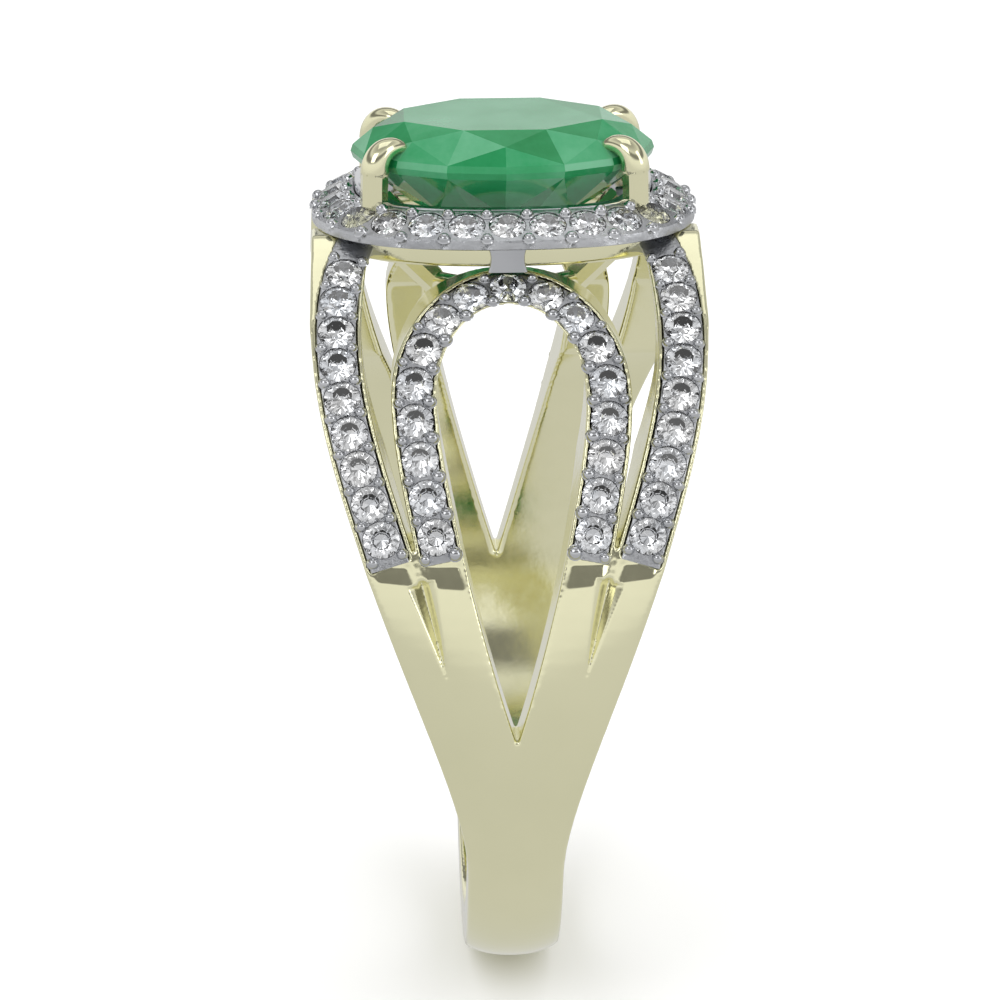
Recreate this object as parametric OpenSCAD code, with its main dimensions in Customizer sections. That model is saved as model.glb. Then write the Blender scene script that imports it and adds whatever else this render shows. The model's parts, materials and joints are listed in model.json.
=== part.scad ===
// Cocktail ring: oval stone on four claws, pave halo, split shoulders with a pave arch.
// Origin at the centre of the finger hole, X along the finger, Z up through the stone.

/* [Finger and shank] */
// Radius of the finger hole
finger_r = 8.675; // [7:0.1:11]
// Thickness of the shank at its base
shank_t = 1.6; // [1.2:0.1:2.4]
// Width of the shank at its base
shank_w = 2.8; // [2:0.1:4]
// Height of the point where the shank forks
crotch_z = -0.7; // [-3:0.1:0]

/* [Shoulders] */
// Height at which the shoulder curve would close over the finger
shoulder_h = 13.2; // [12.6:0.1:14.5]
// Fullness of the shoulder curve, 2 is an ellipse
shoulder_n = 1.8; // [1.6:0.05:2.2]
// Thickness of the shoulders near the halo
arm_t = 1.25; // [1:0.05:1.6]
// Greatest distance of the outer arm's centre line from the middle
arm_reach = 5.05; // [4.8:0.05:5.6]
// Distance of the arch's centre line from the middle at its widest
arch_reach = 2.8; // [2.5:0.05:3.1]
// Height of the arch's centre line at its top
arch_top = 11.4; // [10.8:0.05:11.45]

/* [Pave] */
// Diameter of the small diamonds
melee_d = 1.06; // [0.9:0.02:1.1]
// Metal on each side of the diamonds on the outer arms
arm_edge = 0.195; // [0.15:0.005:0.3]
// Metal on each side of the diamonds on the arch
arch_edge = 0.13; // [0.13:0.005:0.25]
// Gap between neighbouring diamonds on the outer arms
arm_stone_gap = 0.02; // [0:0.01:0.2]
// Gap between neighbouring diamonds on the arch
arch_stone_gap = 0.09; // [0.02:0.01:0.2]
// Least gap between neighbouring diamonds on the halo
halo_stone_gap = 0.08; // [0.04:0.01:0.2]
// Thickness of the white rails that hold the diamonds
rail_t = 0.55; // [0.5:0.05:0.7]
// Gold margin left on each side of a white rail
margin = 0.13; // [0.1:0.01:0.2]

/* [Halo and gallery] */
// Half length of the halo's outline along the finger
halo_x = 5.7; // [5.4:0.05:6.2]
// Half width of the halo's outline across the finger
halo_y = 4.85; // [4.5:0.05:5.2]
// Metal on each side of the halo's diamonds, seen from above
halo_edge = 0.11; // [0.08:0.01:0.25]
// Thickness of the halo at its outer edge
halo_t = 0.25; // [0.2:0.05:0.5]
// Rise of the halo's sloping face from its outer edge to its inner edge
halo_rise = 0.65; // [0.5:0.05:0.8]
// Height of the halo's underside
halo_z = 12.55; // [12.3:0.05:12.8]
// Squareness of the halo's outline, 2 is an oval
halo_n = 2.6; // [2:0.1:3.2]
// Height of the gallery rail
gallery_h = 0.65; // [0.4:0.05:0.7]
// Thickness of the gallery rail's wall
gallery_w = 0.7; // [0.5:0.05:0.9]
// Inset of the gallery rail from the halo's edge
gallery_inset = 0.68; // [0.6:0.02:0.8]

/* [Centre stone and basket] */
// Length of the centre stone along the finger
stone_l = 9; // [8:0.1:9.4]
// Width of the centre stone
stone_w = 7; // [6.2:0.1:7.4]
// Height of the stone's girdle
girdle_z = 14.5; // [14.3:0.05:15.2]
// Height of the stone's crown
crown_h = 1.1; // [0.6:0.05:1.4]
// Thickness of the stone's girdle
girdle_t = 0.4; // [0.1:0.05:0.5]
// Depth of the stone's pavilion
pavilion_h = 3.1; // [2.6:0.05:3.4]
// Table as a share of the stone's width
table_share = 0.6; // [0.5:0.01:0.7]
// Thickness of a claw
claw_d = 0.8; // [0.6:0.05:0.9]
// Wall of the collar under the stone
collar_w = 0.4; // [0.3:0.05:0.6]
// Height of the collar
collar_h = 0.95; // [0.6:0.05:1.1]
// Thickness of the basket's base rail
base_rail_t = 0.6; // [0.5:0.05:0.8]
// Height of the middle of the base rail
base_rail_z = 10.9; // [10.6:0.05:11.2]

/* [Hidden] */
$fn = 48;

// gap between a stone or a rail and the metal that holds it
clear = 0.02;
// far enough to pass through the whole ring
big = 40;
// how far a cut runs past the face it opens
past = 1;
steps = 14;

base_r = finger_r + shank_t;
// the finger hole's wall follows the finger this far up each side
wall_angle = 52;
arm_top = halo_z;
gallery_z = halo_z - gallery_h;
// widths of the bands and of the halo, and the spacing of their diamonds
arm_w = melee_d + 2 * arm_edge;
arch_w = melee_d + 2 * arch_edge;
halo_w = melee_d + 2 * halo_edge;
arm_pitch = melee_d + arm_stone_gap;
arch_pitch = melee_d + arch_stone_gap;
// flat land along the halo's inner edge
halo_land = 0.1;
halo_slope = atan(halo_rise / (halo_w - halo_land));
// height of the sloping face under the middle of its diamonds
halo_face_z = halo_z + halo_t + tan(halo_slope) * halo_w / 2;
// the shoulders are open around the basket from this height up
basket_z = base_rail_z - base_rail_t;
melee_r = melee_d / 2;
melee_crown = 0.16;
melee_girdle = 0.04;
melee_pavilion = 0.42;
melee_table_share = 0.58;
// depth of a diamond's girdle under the face it is set in
melee_sink = 0.03;

gold = "#d6d0a4";
white_metal = "#e4e4e6";
diamond = "#f4f8fb";
green = "#4f9a6c";

// ---- curves in the front view, as [x, z] ----

// point of a cubic curve with control points c
function bezier(c, t) =
    pow(1 - t, 3) * c[0] + 3 * t * pow(1 - t, 2) * c[1]
    + 3 * t * t * (1 - t) * c[2] + t * t * t * c[3];
function curve(c, t0 = 0, t1 = 1) = [for (i = [0 : steps]) bezier(c, t0 + (t1 - t0) * i / steps)];

// foot of the arch band and of the outer arm, where the pave ends
pave_z = 4.5;
arm_foot = [arm_reach - 1.49, pave_z - 0.05];
arch_foot = [arch_reach - 0.7, pave_z + 0.05];

// distance of the arm's upper end from the halo's end
arm_end_inset = 1.42;
arm_curve = curve([arm_foot, [arm_reach - 0.8, 6.7], [arm_reach + 0.91, 10.6],
    [halo_x - arm_end_inset, arm_top]]);
// the arm runs on a little past the halo's underside, which cuts it off
arm_line = concat(arm_curve, [arm_curve[steps] + (arm_curve[steps] - arm_curve[steps - 1])]);
arch_side = curve([arch_foot, [arch_reach - 0.33, 6.3], [arch_reach, 7.6], [arch_reach, 8.8]]);
arch_bend = curve([[arch_reach, 8.8], [arch_reach, 10.2],
    [arch_reach * 0.57, arch_top], [0, arch_top]]);
function reversed(path) = [for (i = [len(path) - 1 : -1 : 0]) path[i]];
function mirrored(path) = [for (p = path) [-p[0], p[1]]];
function without_last(path) = [for (i = [0 : len(path) - 2]) path[i]];
// from the foot to the top of the arch, and on to the other foot
arch_half_line = concat(without_last(arch_side), arch_bend);
arch_line = concat(arch_half_line, mirrored(reversed(without_last(arch_half_line))));

// ---- the shoulder surface, seen along the finger ----

// distance from the middle at height z, for a curve base_r - inset deep
function shoulder_y(z, inset = 0) =
    z <= 0 ? sqrt(pow(base_r - inset, 2) - z * z)
    : (base_r - inset) * pow(1 - pow(z / (shoulder_h - inset), shoulder_n), 1 / shoulder_n);
// lean of the surface's normal away from straight up
function lean(z) = atan2(
    pow(shoulder_y(z) / base_r, shoulder_n - 1) / base_r,
    pow(z / shoulder_h, shoulder_n - 1) / shoulder_h);
// length along the surface for each unit of height
function stretch(z) = 1 / sin(lean(z));

function tangent(path, i) =
    let (a = path[max(i - 1, 0)], b = path[min(i + 1, len(path) - 1)]) (b - a) / norm(b - a);
// unit step across a band that is one unit wide on the surface
function across(path, i) =
    let (t = tangent(path, i), n = [t[1], -t[0]])
    n / norm([n[0], n[1] * stretch(min(path[i][1], arm_top))]);
// the arm's outer edge, which stands out in a cheek that runs up to the halo's end
cheek_z = 10.2;
cheek_slope = 0.04;
// how far the cheek stands out past the halo's end
cheek_out = 0.075;
function with_cheek(points) = [for (p = points)
    p[1] < cheek_z ? p : [max(p[0], halo_x + cheek_out - cheek_slope * (p[1] - cheek_z)), p[1]]];
// one edge of a band along a path, on its outer side for w > 0
function edge(path, w) = [for (i = [0 : len(path) - 1]) path[i] + across(path, i) * w / 2];
function band(path, w) = concat(edge(path, w), reversed(edge(path, -w)));

// lengths along the surface from the path's start to each of its points
function step_length(a, b) =
    norm([b[0] - a[0], (b[1] - a[1]) * stretch((a[1] + b[1]) / 2)]);
function lengths(path, i = 1, sum = 0, out = [0]) =
    i == len(path) ? out
    : let (s = sum + step_length(path[i - 1], path[i])) lengths(path, i + 1, s, concat(out, s));
// point at length s along the path
function along(path, run, s, i = 1) =
    i == len(path) - 1 || run[i] >= s
    ? path[i - 1] + (path[i] - path[i - 1]) * (s - run[i - 1]) / (run[i] - run[i - 1])
    : along(path, run, s, i + 1);

arm_run = lengths(arm_line);
// place of an arm's lowest diamond, in spacings from the arm's foot
arm_first = 0.76;
// least distance from the highest diamond to the arm's end, in spacings
arm_end_share = 1.2;
// diamonds that fit under the halo
arm_stones = 1 + floor(lengths(arm_curve)[steps] / arm_pitch - arm_first - arm_end_share);
arm_places = [for (k = [0 : arm_stones - 1]) along(arm_line, arm_run, (k + arm_first) * arm_pitch)];
arch_down = reversed(arch_half_line);
arch_run = lengths(arch_down);
// bare rail past the arch's lowest diamond, in spacings
arch_end_share = 0.5;
arch_side_stones = floor(arch_run[len(arch_down) - 1] / arch_pitch - arch_end_share);
arch_half = [for (k = [0 : arch_side_stones]) along(arch_down, arch_run, k * arch_pitch)];
arch_places = concat(arch_half, [for (k = [1 : arch_side_stones]) [-arch_half[k][0], arch_half[k][1]]]);

// ---- cushion outlines around the stone, seen from above ----

function power(v, e) = sign(v) * pow(abs(v), e);
function cushion(ax, ay, n = halo_n, count = 64) =
    [for (i = [0 : count - 1]) let (a = 360 * i / count)
        [ax * power(cos(a), 2 / n), ay * power(sin(a), 2 / n)]];
halo_mid = cushion(halo_x - halo_w / 2, halo_y - halo_w / 2, halo_n, 240);
function ring_lengths(p, i = 1, out = [0]) =
    i > len(p) ? out
    : ring_lengths(p, i + 1, concat(out, out[i - 1] + norm(p[i % len(p)] - p[i - 1])));
halo_run = ring_lengths(halo_mid);
halo_stones = floor(halo_run[len(halo_mid)] / (melee_d + halo_stone_gap));
halo_pitch = halo_run[len(halo_mid)] / halo_stones;
function halo_at(s, i = 1) =
    halo_run[i] >= s
    ? let (a = halo_mid[i - 1], b = halo_mid[i % len(halo_mid)])
        a + (b - a) * (s - halo_run[i - 1]) / (halo_run[i] - halo_run[i - 1])
    : halo_at(s, i + 1);
// a diamond sits in the middle of the front and of the back
halo_places = [for (k = [0 : halo_stones - 1]) halo_at((k + 0.5) * halo_pitch)];
// direction along the halo at each diamond
halo_steps = [for (k = [0 : halo_stones - 1])
    halo_at((k + 0.6) * halo_pitch) - halo_at((k + 0.4) * halo_pitch)];

// ---- solids shared by several pieces ----

module along_finger(w) {
    rotate([90, 0, 90]) linear_extrude(w, center = true) children();
}
module across_finger() {
    rotate([90, 0, 0]) linear_extrude(big, center = true) children();
}
// the shoulder and shank solid, inset from the outer surface
hoop_steps = 40;
module hoop_solid(inset = 0) {
    top = shoulder_h - inset;
    r = base_r - inset;
    upper = [for (i = [0 : hoop_steps]) let (a = 90 * i / hoop_steps)
        [r * pow(cos(a), 2 / shoulder_n), top * pow(sin(a), 2 / shoulder_n)]];
    lower = [for (i = [1 : 2 * hoop_steps - 1]) let (a = 180 + 180 * i / (2 * hoop_steps))
        [r * cos(a), r * sin(a)]];
    along_finger(big) polygon(concat(upper, mirrored(reversed(without_last(upper))), lower));
}
// puts a child on the shoulder surface at a front-view point, facing out
module on_shoulder(p) {
    translate([p[0], -shoulder_y(p[1]), p[1]]) rotate([lean(p[1]), 0, 0])
        translate([0, 0, -melee_sink]) children();
}
module melee() {
    rotate_extrude() polygon([[0, -melee_pavilion], [melee_r, -melee_girdle / 2],
        [melee_r, melee_girdle / 2], [melee_r * melee_table_share, melee_crown], [0, melee_crown]]);
}
module melee_seat() {
    rotate_extrude() polygon([[0, -melee_pavilion - clear * 2],
        [melee_r + clear, -melee_girdle / 2 - clear], [melee_r + clear, past], [0, past]]);
}

// ---- the gold shank with its arms and arches ----

fork_edge = curve([[shank_w / 2, -5.5], [shank_w / 2, -3.2], [2.55, -0.45], edge(arm_line, arm_w)[0]]);
fork_inside = curve([edge(arch_line, -arch_w)[0], [1.2, 3.5], [0.45, 0.7], [0, crotch_z]]);
// lower end of the slot between the outer arm and the arch
slot_end = [(arm_foot[0] + arch_foot[0]) / 2 - 0.17, pave_z - 0.8];
// lower end of the groove that carries the slot on
groove_end = [1.93, 1.1];
groove_w = 0.24;
groove_depth = 0.22;
// how far the groove reaches up into the slot
groove_overlap = 0.35;
// half the gap between the front and back arms, under the gallery rail
arm_gap = 1.6;

module front_outline() {
    right = concat([[shank_w / 2, -base_r - past]], without_last(fork_edge),
        with_cheek(edge(arm_line, arm_w)), reversed(edge(arm_line, -arm_w)), [slot_end]);
    difference() {
        polygon(concat(right, edge(arch_line, arch_w), mirrored(reversed(right))));
        polygon(concat(edge(arch_line, -arch_w), without_last(mirrored(fork_inside)),
            reversed(fork_inside)));
    }
}
// cut into the outer surface, as deep as stated, through an outline in the front view
module surface_cut(depth) {
    difference() {
        across_finger() children();
        hoop_solid(depth);
    }
}
module grooves() {
    start = slot_end + [0, groove_overlap];
    side = [groove_w / 2, 0];
    right = [start + side, start - side, groove_end];
    polygon(right);
    polygon(mirrored(right));
}
// straight round bar between two points
module rod(a, b, r) {
    d = b - a;
    translate(a) rotate([0, acos(d[2] / norm(d)), atan2(d[1], d[0])]) cylinder(r = r, h = norm(d));
}

module shank() {
    color(gold) difference() {
        intersection() {
            hoop_solid();
            across_finger() front_outline();
            translate([0, 0, arm_top - big / 2]) cube(big, center = true);
        }
        rotate([0, 90, 0]) cylinder(r = finger_r, h = big, center = true, $fn = 96);
        intersection() {
            hoop_solid(arm_t);
            translate([0, 0, big / 2]) cube([big, 2 * finger_r * cos(wall_angle), big], center = true);
        }
        translate([0, 0, basket_z]) linear_extrude(big)
            polygon(cushion(halo_x - gallery_inset - gallery_w, halo_y - gallery_inset - gallery_w));
        translate([0, 0, basket_z + big / 2]) cube([big, 2 * arm_gap, big], center = true);
        translate([0, 0, gallery_z]) linear_extrude(big)
            polygon(cushion(halo_x - gallery_inset + clear, halo_y - gallery_inset + clear));
        surface_cut(rail_t + clear) {
            polygon(band(arm_line, arm_w - 2 * margin));
            polygon(mirrored(band(arm_line, arm_w - 2 * margin)));
            polygon(band(arch_line, arch_w - 2 * margin));
        }
        surface_cut(groove_depth) grooves();
    }
}

// ---- white rails and their diamonds ----

// a rail on the front of the ring, let into the gold along a path
module pave_rail(path, w, places) {
    color(white_metal) difference() {
        intersection() {
            hoop_solid();
            across_finger() polygon(band(path, w - 2 * margin - 2 * clear));
            translate([0, -big / 2, halo_z - clear - big / 2]) cube(big, center = true);
        }
        hoop_solid(rail_t);
        translate([0, 0, gallery_z - clear]) linear_extrude(big)
            polygon(cushion(halo_x - gallery_inset + clear, halo_y - gallery_inset + clear));
        for (p = places) on_shoulder(p) melee_seat();
    }
}
// the rail of the front right outer arm
module arm_rail() {
    pave_rail(arm_line, arm_w, arm_places);
}
// the rail of the front arch
module arch_rail() {
    pave_rail(arch_line, arch_w, arch_places);
}
module arm_diamonds() {
    color(diamond) for (p = arm_places) on_shoulder(p) melee();
}
module arch_diamonds() {
    color(diamond) for (p = arch_places) on_shoulder(p) melee();
}

// ---- halo, gallery rail and connectors ----

connector_w = 1.15;
connector_y = halo_y - gallery_inset;
connector_t = 0.25;
// height of the connector's foot over the arch's centre line
connector_lift = 0.4;

// ring between two cushion outlines, sizes given from the halo's edge inwards
module cushion_ring(outside, inside, z, h) {
    translate([0, 0, z]) linear_extrude(h) difference() {
        polygon(cushion(halo_x - outside, halo_y - outside));
        polygon(cushion(halo_x - inside, halo_y - inside));
    }
}
// puts a child on the halo's sloping face at one of its diamonds
module on_halo(k) {
    translate([halo_places[k][0], halo_places[k][1], halo_face_z])
        rotate([0, halo_slope, atan2(-halo_steps[k][0], halo_steps[k][1])])
            translate([0, 0, -melee_sink]) children();
}
module halo_frame() {
    inner = halo_w - halo_land;
    color(white_metal) difference() {
        union() {
            translate([0, 0, halo_z]) linear_extrude(halo_t) polygon(cushion(halo_x, halo_y));
            translate([0, 0, halo_z + halo_t])
                linear_extrude(halo_rise, scale = [1 - inner / halo_x, 1 - inner / halo_y])
                    polygon(cushion(halo_x, halo_y));
        }
        translate([0, 0, halo_z - past]) linear_extrude(halo_t + halo_rise + 2 * past)
            polygon(cushion(halo_x - halo_w, halo_y - halo_w));
        for (k = [0 : halo_stones - 1]) on_halo(k) melee_seat();
        claw_notches();
    }
}
module halo_diamonds() {
    color(diamond) for (k = [0 : halo_stones - 1]) on_halo(k) melee();
}
module gallery_rail() {
    color(gold) difference() {
        cushion_ring(gallery_inset, gallery_inset + gallery_w, gallery_z, gallery_h);
        claw_notches();
    }
}
// silver block that joins the top of the front arch to the halo
module arch_connector() {
    bottom = arch_top + connector_lift;
    color(white_metal) difference() {
        translate([-connector_w / 2, -connector_y - connector_t - clear, bottom])
            cube([connector_w, connector_t, halo_z - bottom]);
        intersection() {
            hoop_solid(-clear);
            across_finger() polygon(band(arch_line, arch_w + 2 * clear));
        }
    }
}

// ---- centre stone and its basket ----

stone_sides = 32;
// points of one level of the stone, at a share of its outline
function stone_level(share, z, grow = 0) = [for (i = [0 : stone_sides - 1])
    let (a = 360 * i / stone_sides)
    [(stone_l / 2 * share + grow) * cos(a), (stone_w / 2 * share + grow) * sin(a), z]];
module stone_solid(grow = 0) {
    n = stone_sides;
    points = concat(
        [[0, 0, girdle_z - pavilion_h - grow]],
        stone_level(1, girdle_z - girdle_t / 2 - grow, grow),
        stone_level(1, girdle_z + girdle_t / 2 + grow, grow),
        stone_level(table_share, girdle_z + crown_h + grow, grow));
    faces = concat(
        [for (i = [0 : n - 1]) [0, 1 + i, 1 + (i + 1) % n]],
        [for (r = [0, 1], i = [0 : n - 1])
            [1 + r * n + i, 1 + (r + 1) * n + i, 1 + (r + 1) * n + (i + 1) % n, 1 + r * n + (i + 1) % n]],
        [[for (i = [n - 1 : -1 : 0]) 1 + 2 * n + i]]);
    polyhedron(points, faces, convexity = 2);
}
module centre_stone() {
    color(green) stone_solid();
}

claw_r = claw_d / 2;
// the bends of a claw are a little fuller than its straight runs
claw_bend_r = claw_r * 1.04;
// a claw's line, from the base rail up to its tip, for the right-hand back corner
claw_foot = [stone_l * 0.235, stone_w * 0.215, base_rail_z];
claw_knee = [stone_l * 0.425, stone_w * 0.35, halo_z + 0.1];
claw_neck = [stone_l * 0.418, stone_w * 0.338, girdle_z + 0.2];
claw_tip = [stone_l * 0.355, stone_w * 0.288, girdle_z + crown_h * 0.72];

// widened shafts that notch the frames a claw passes through
module claw_notches() {
    for (sx = [0, 1], sy = [0, 1]) mirror([sx, 0, 0]) mirror([0, sy, 0]) {
        rod(claw_foot, claw_knee, claw_r + clear);
        translate(claw_knee) sphere(claw_bend_r + clear);
        rod(claw_knee, claw_neck, claw_r + clear);
    }
}
module claw() {
    color(gold) difference() {
        union() {
            rod(claw_foot, claw_knee, claw_r);
            translate(claw_knee) sphere(claw_bend_r);
            rod(claw_knee, claw_neck, claw_r);
            translate(claw_neck) sphere(claw_bend_r);
            rod(claw_neck, claw_tip, claw_r);
            translate(claw_tip) sphere(claw_bend_r);
        }
        stone_solid(clear);
    }
}
collar_lift = 0.05;
// collar under the stone, joined to the halo's inner edge
module stone_collar() {
    out_x = halo_x - halo_w - clear;
    out_y = halo_y - halo_w - clear;
    color(white_metal) difference() {
        translate([0, 0, halo_z + collar_lift]) linear_extrude(collar_h)
            polygon(cushion(out_x, out_y));
        translate([0, 0, halo_z - past]) linear_extrude(collar_h + 2 * past)
            polygon(cushion(out_x - collar_w, out_y - collar_w));
        claw_notches();
        stone_solid(clear);
    }
}
module basket_base_rail() {
    mean = norm([claw_foot[0], claw_foot[1]]);
    color(gold) difference() {
        translate([0, 0, base_rail_z - base_rail_t / 2]) difference() {
            cylinder(r = mean + base_rail_t / 2, h = base_rail_t);
            translate([0, 0, -past]) cylinder(r = mean - base_rail_t / 2, h = base_rail_t + 2 * past);
        }
        for (sx = [0, 1], sy = [0, 1]) mirror([sx, 0, 0]) mirror([0, sy, 0])
            rod(claw_foot, claw_knee, claw_r + clear);
    }
}

shank();
mirror([1, 0, 0]) arm_rail();  // outer_pave_rail_front_left
arm_rail();  // outer_pave_rail_front_right
mirror([1, 0, 0]) mirror([0, 1, 0]) arm_rail();  // outer_pave_rail_back_left
mirror([0, 1, 0]) arm_rail();  // outer_pave_rail_back_right
arch_rail();  // arch_pave_rail_front
mirror([0, 1, 0]) arch_rail();  // arch_pave_rail_back
arch_connector();  // arch_connector_front
mirror([0, 1, 0]) arch_connector();  // arch_connector_back
gallery_rail();
halo_frame();
stone_collar();
basket_base_rail();
mirror([1, 0, 0]) mirror([0, 1, 0]) claw();  // claw_front_left
mirror([0, 1, 0]) claw();  // claw_front_right
mirror([1, 0, 0]) claw();  // claw_back_left
claw();  // claw_back_right
centre_stone();
halo_diamonds();
arch_diamonds();  // arch_diamonds_front
mirror([0, 1, 0]) arch_diamonds();  // arch_diamonds_back
mirror([1, 0, 0]) arm_diamonds();  // outer_diamonds_front_left
arm_diamonds();  // outer_diamonds_front_right
mirror([1, 0, 0]) mirror([0, 1, 0]) arm_diamonds();  // outer_diamonds_back_left
mirror([0, 1, 0]) arm_diamonds();  // outer_diamonds_back_right
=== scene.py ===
"""A cocktail ring on its CAD frame: gold, white pave rails, diamonds and a green oval."""

import json
import math
import random

import bmesh
import bpy
import numpy as np
from mathutils import Matrix, Vector


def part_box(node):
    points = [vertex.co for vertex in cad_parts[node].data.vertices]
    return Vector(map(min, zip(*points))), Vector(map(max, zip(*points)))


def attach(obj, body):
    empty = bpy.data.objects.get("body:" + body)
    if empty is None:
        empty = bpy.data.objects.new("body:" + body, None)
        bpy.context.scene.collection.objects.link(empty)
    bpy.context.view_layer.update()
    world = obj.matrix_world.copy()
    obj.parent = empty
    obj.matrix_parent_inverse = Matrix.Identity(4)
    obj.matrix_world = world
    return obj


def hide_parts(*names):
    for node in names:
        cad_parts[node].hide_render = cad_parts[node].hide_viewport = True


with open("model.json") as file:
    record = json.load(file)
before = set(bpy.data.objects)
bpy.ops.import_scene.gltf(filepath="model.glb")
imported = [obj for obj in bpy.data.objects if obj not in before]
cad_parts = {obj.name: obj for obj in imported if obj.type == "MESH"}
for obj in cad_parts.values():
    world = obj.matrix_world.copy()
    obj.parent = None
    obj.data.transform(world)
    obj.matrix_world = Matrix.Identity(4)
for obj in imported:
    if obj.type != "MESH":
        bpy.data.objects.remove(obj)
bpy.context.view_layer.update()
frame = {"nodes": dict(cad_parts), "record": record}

# ---------------------------------------------------------------- sizes, in millimetres
MM = 0.001


def box_mm(node):
    low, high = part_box(node)
    return np.array(low) / MM, np.array(high) / MM


# boxes of the frame's solids
SHANK_LOW, _ = box_mm("shank")
HALO_LOW, HALO_HIGH = box_mm("halo_frame")
GALLERY_LOW, GALLERY_HIGH = box_mm("gallery_rail")
STONE_LOW, STONE_HIGH = box_mm("centre_stone")
COLLAR_LOW, COLLAR_HIGH = box_mm("stone_collar")
BASE_LOW, BASE_HIGH = box_mm("basket_base_rail")

# the hoop, and the curve that its shoulders follow up to the head
FINGER_R = frame["record"]["mounts"][0]["dims"]["r_mm"]
BASE_R = -SHANK_LOW[2]
SHOULDER_H = 13.2
SHOULDER_N = 1.8
# the outer arms and the arches
ARM_TOP = HALO_LOW[2]
ARM_W = 1.45
ARCH_W = 1.32
ARM_REACH = 5.05
ARCH_REACH = 2.8
ARCH_TOP = 11.4
PAVE_Z = 4.5
RAIL_T = 0.55
RAIL_MARGIN = 0.15
# the small diamonds and their rows
MELEE_R = 0.53
MELEE_SINK = 0.03
ARM_PITCH = 1.08
ARM_FIRST = 0.76
ARCH_PITCH = 1.15
ARM_STONES = 9
ARCH_SIDE_STONES = 8
HALO_STONES = 26
# the halo, and the collar and gallery under it
HALO_N = 2.6
HALO_W = 1.28
HALO_EDGE_T = 0.25
HALO_LAND = 0.1
GALLERY_WALL = 0.7
COLLAR_WALL = 0.4
# the centre stone
PAVILION_H = 3.1
GIRDLE_Z = STONE_LOW[2] + PAVILION_H
GIRDLE_HALF = 0.2

random.seed(7)

# ---------------------------------------------------------------- camera
# the place of the finger hole's centre in the picture is set by the aim and the tilt
CAMERA_ELEVATION = 17.5
CAMERA_AZIMUTH = -1.8
CAMERA_DISTANCE = 160.0
CAMERA_ROLL = -0.37
CAMERA_LENS = 189.5
CAMERA_SENSOR = 36.0
# nearest and farthest distance seen, in metres
CAMERA_CLIP = (0.01, 10)
AIM_UP = 3.51
AIM_RIGHT = -0.14


def make_camera():
    """A long lens, a little above the ring and looking along +Y."""
    el, az, roll = (math.radians(a) for a in (CAMERA_ELEVATION, CAMERA_AZIMUTH, CAMERA_ROLL))
    back = Vector((math.sin(az) * math.cos(el), -math.cos(az) * math.cos(el), math.sin(el)))
    right = Vector((0, 0, 1)).cross(back).normalized()
    up = back.cross(right)
    place = back * CAMERA_DISTANCE
    back = (place - (up * AIM_UP + right * AIM_RIGHT)).normalized()
    right = Vector((0, 0, 1)).cross(back).normalized()
    up = back.cross(right)
    tilted_right = right * math.cos(roll) + up * math.sin(roll)
    tilted_up = back.cross(tilted_right)
    data = bpy.data.cameras.new("camera")
    data.lens = CAMERA_LENS
    data.sensor_width = CAMERA_SENSOR
    data.clip_start, data.clip_end = CAMERA_CLIP
    camera = bpy.data.objects.new("camera", data)
    turn = Matrix((tilted_right, tilted_up, back)).transposed().to_4x4()
    camera.matrix_world = Matrix.Translation(place * MM) @ turn
    bpy.context.scene.collection.objects.link(camera)
    bpy.context.scene.camera = camera


make_camera()

# ---------------------------------------------------------------- materials


def new_material(name, **values):
    """A material and its node tree's parts; values are set on the shader's own sockets."""
    material = bpy.data.materials.new(name)
    material.use_nodes = True
    shader = material.node_tree.nodes["Principled BSDF"]
    for socket, value in values.items():
        shader.inputs[socket.replace("_", " ")].default_value = value
    return material, material.node_tree.nodes, material.node_tree.links, shader


def noise(nodes, links, scale, detail, roughness=0.5):
    place = nodes.new("ShaderNodeTexCoord")
    node = nodes.new("ShaderNodeTexNoise")
    links.new(place.outputs["Object"], node.inputs["Vector"])
    for socket, value in (("Scale", scale), ("Detail", detail), ("Roughness", roughness)):
        node.inputs[socket].default_value = value
    return node


def ramp(nodes, links, source, stops):
    """Colours at places from 0 to 1 of the source."""
    node = nodes.new("ShaderNodeValToRGB")
    links.new(source, node.inputs["Fac"])
    elements = node.color_ramp.elements
    while len(elements) < len(stops):
        elements.new(0.5)
    for element, (place, colour) in zip(elements, stops):
        element.position = place
        element.color = (*colour, 1)
    return node


def grey(level):
    return (level,) * 3


# the depth of the fine marks in a metal, in metres
BUMP_DEPTH = 0.00005


def bump(nodes, links, shader, height, strength):
    node = nodes.new("ShaderNodeBump")
    node.inputs["Strength"].default_value = strength
    node.inputs["Distance"].default_value = BUMP_DEPTH
    links.new(height, node.inputs["Height"])
    links.new(node.outputs["Normal"], shader.inputs["Normal"])


def metal(name, colour, deep, rough, grain_scale, grain):
    """A cast and polished metal: its colour drifts a little, and fine marks soften its gloss."""
    material, nodes, links, shader = new_material(name, Metallic=1.0)
    drift = noise(nodes, links, 240, 3)
    tint = ramp(nodes, links, drift.outputs["Fac"], [(0.3, deep), (0.7, colour)])
    links.new(tint.outputs["Color"], shader.inputs["Base Color"])
    marks = noise(nodes, links, 2600, 5, 0.7)
    low, high = rough
    gloss = ramp(nodes, links, marks.outputs["Fac"], [(0.3, grey(low)), (0.75, grey(high))])
    links.new(gloss.outputs["Color"], shader.inputs["Roughness"])
    surface = noise(nodes, links, grain_scale, 4, 0.6)
    bump(nodes, links, shader, surface.outputs["Fac"], grain)
    return material


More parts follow.
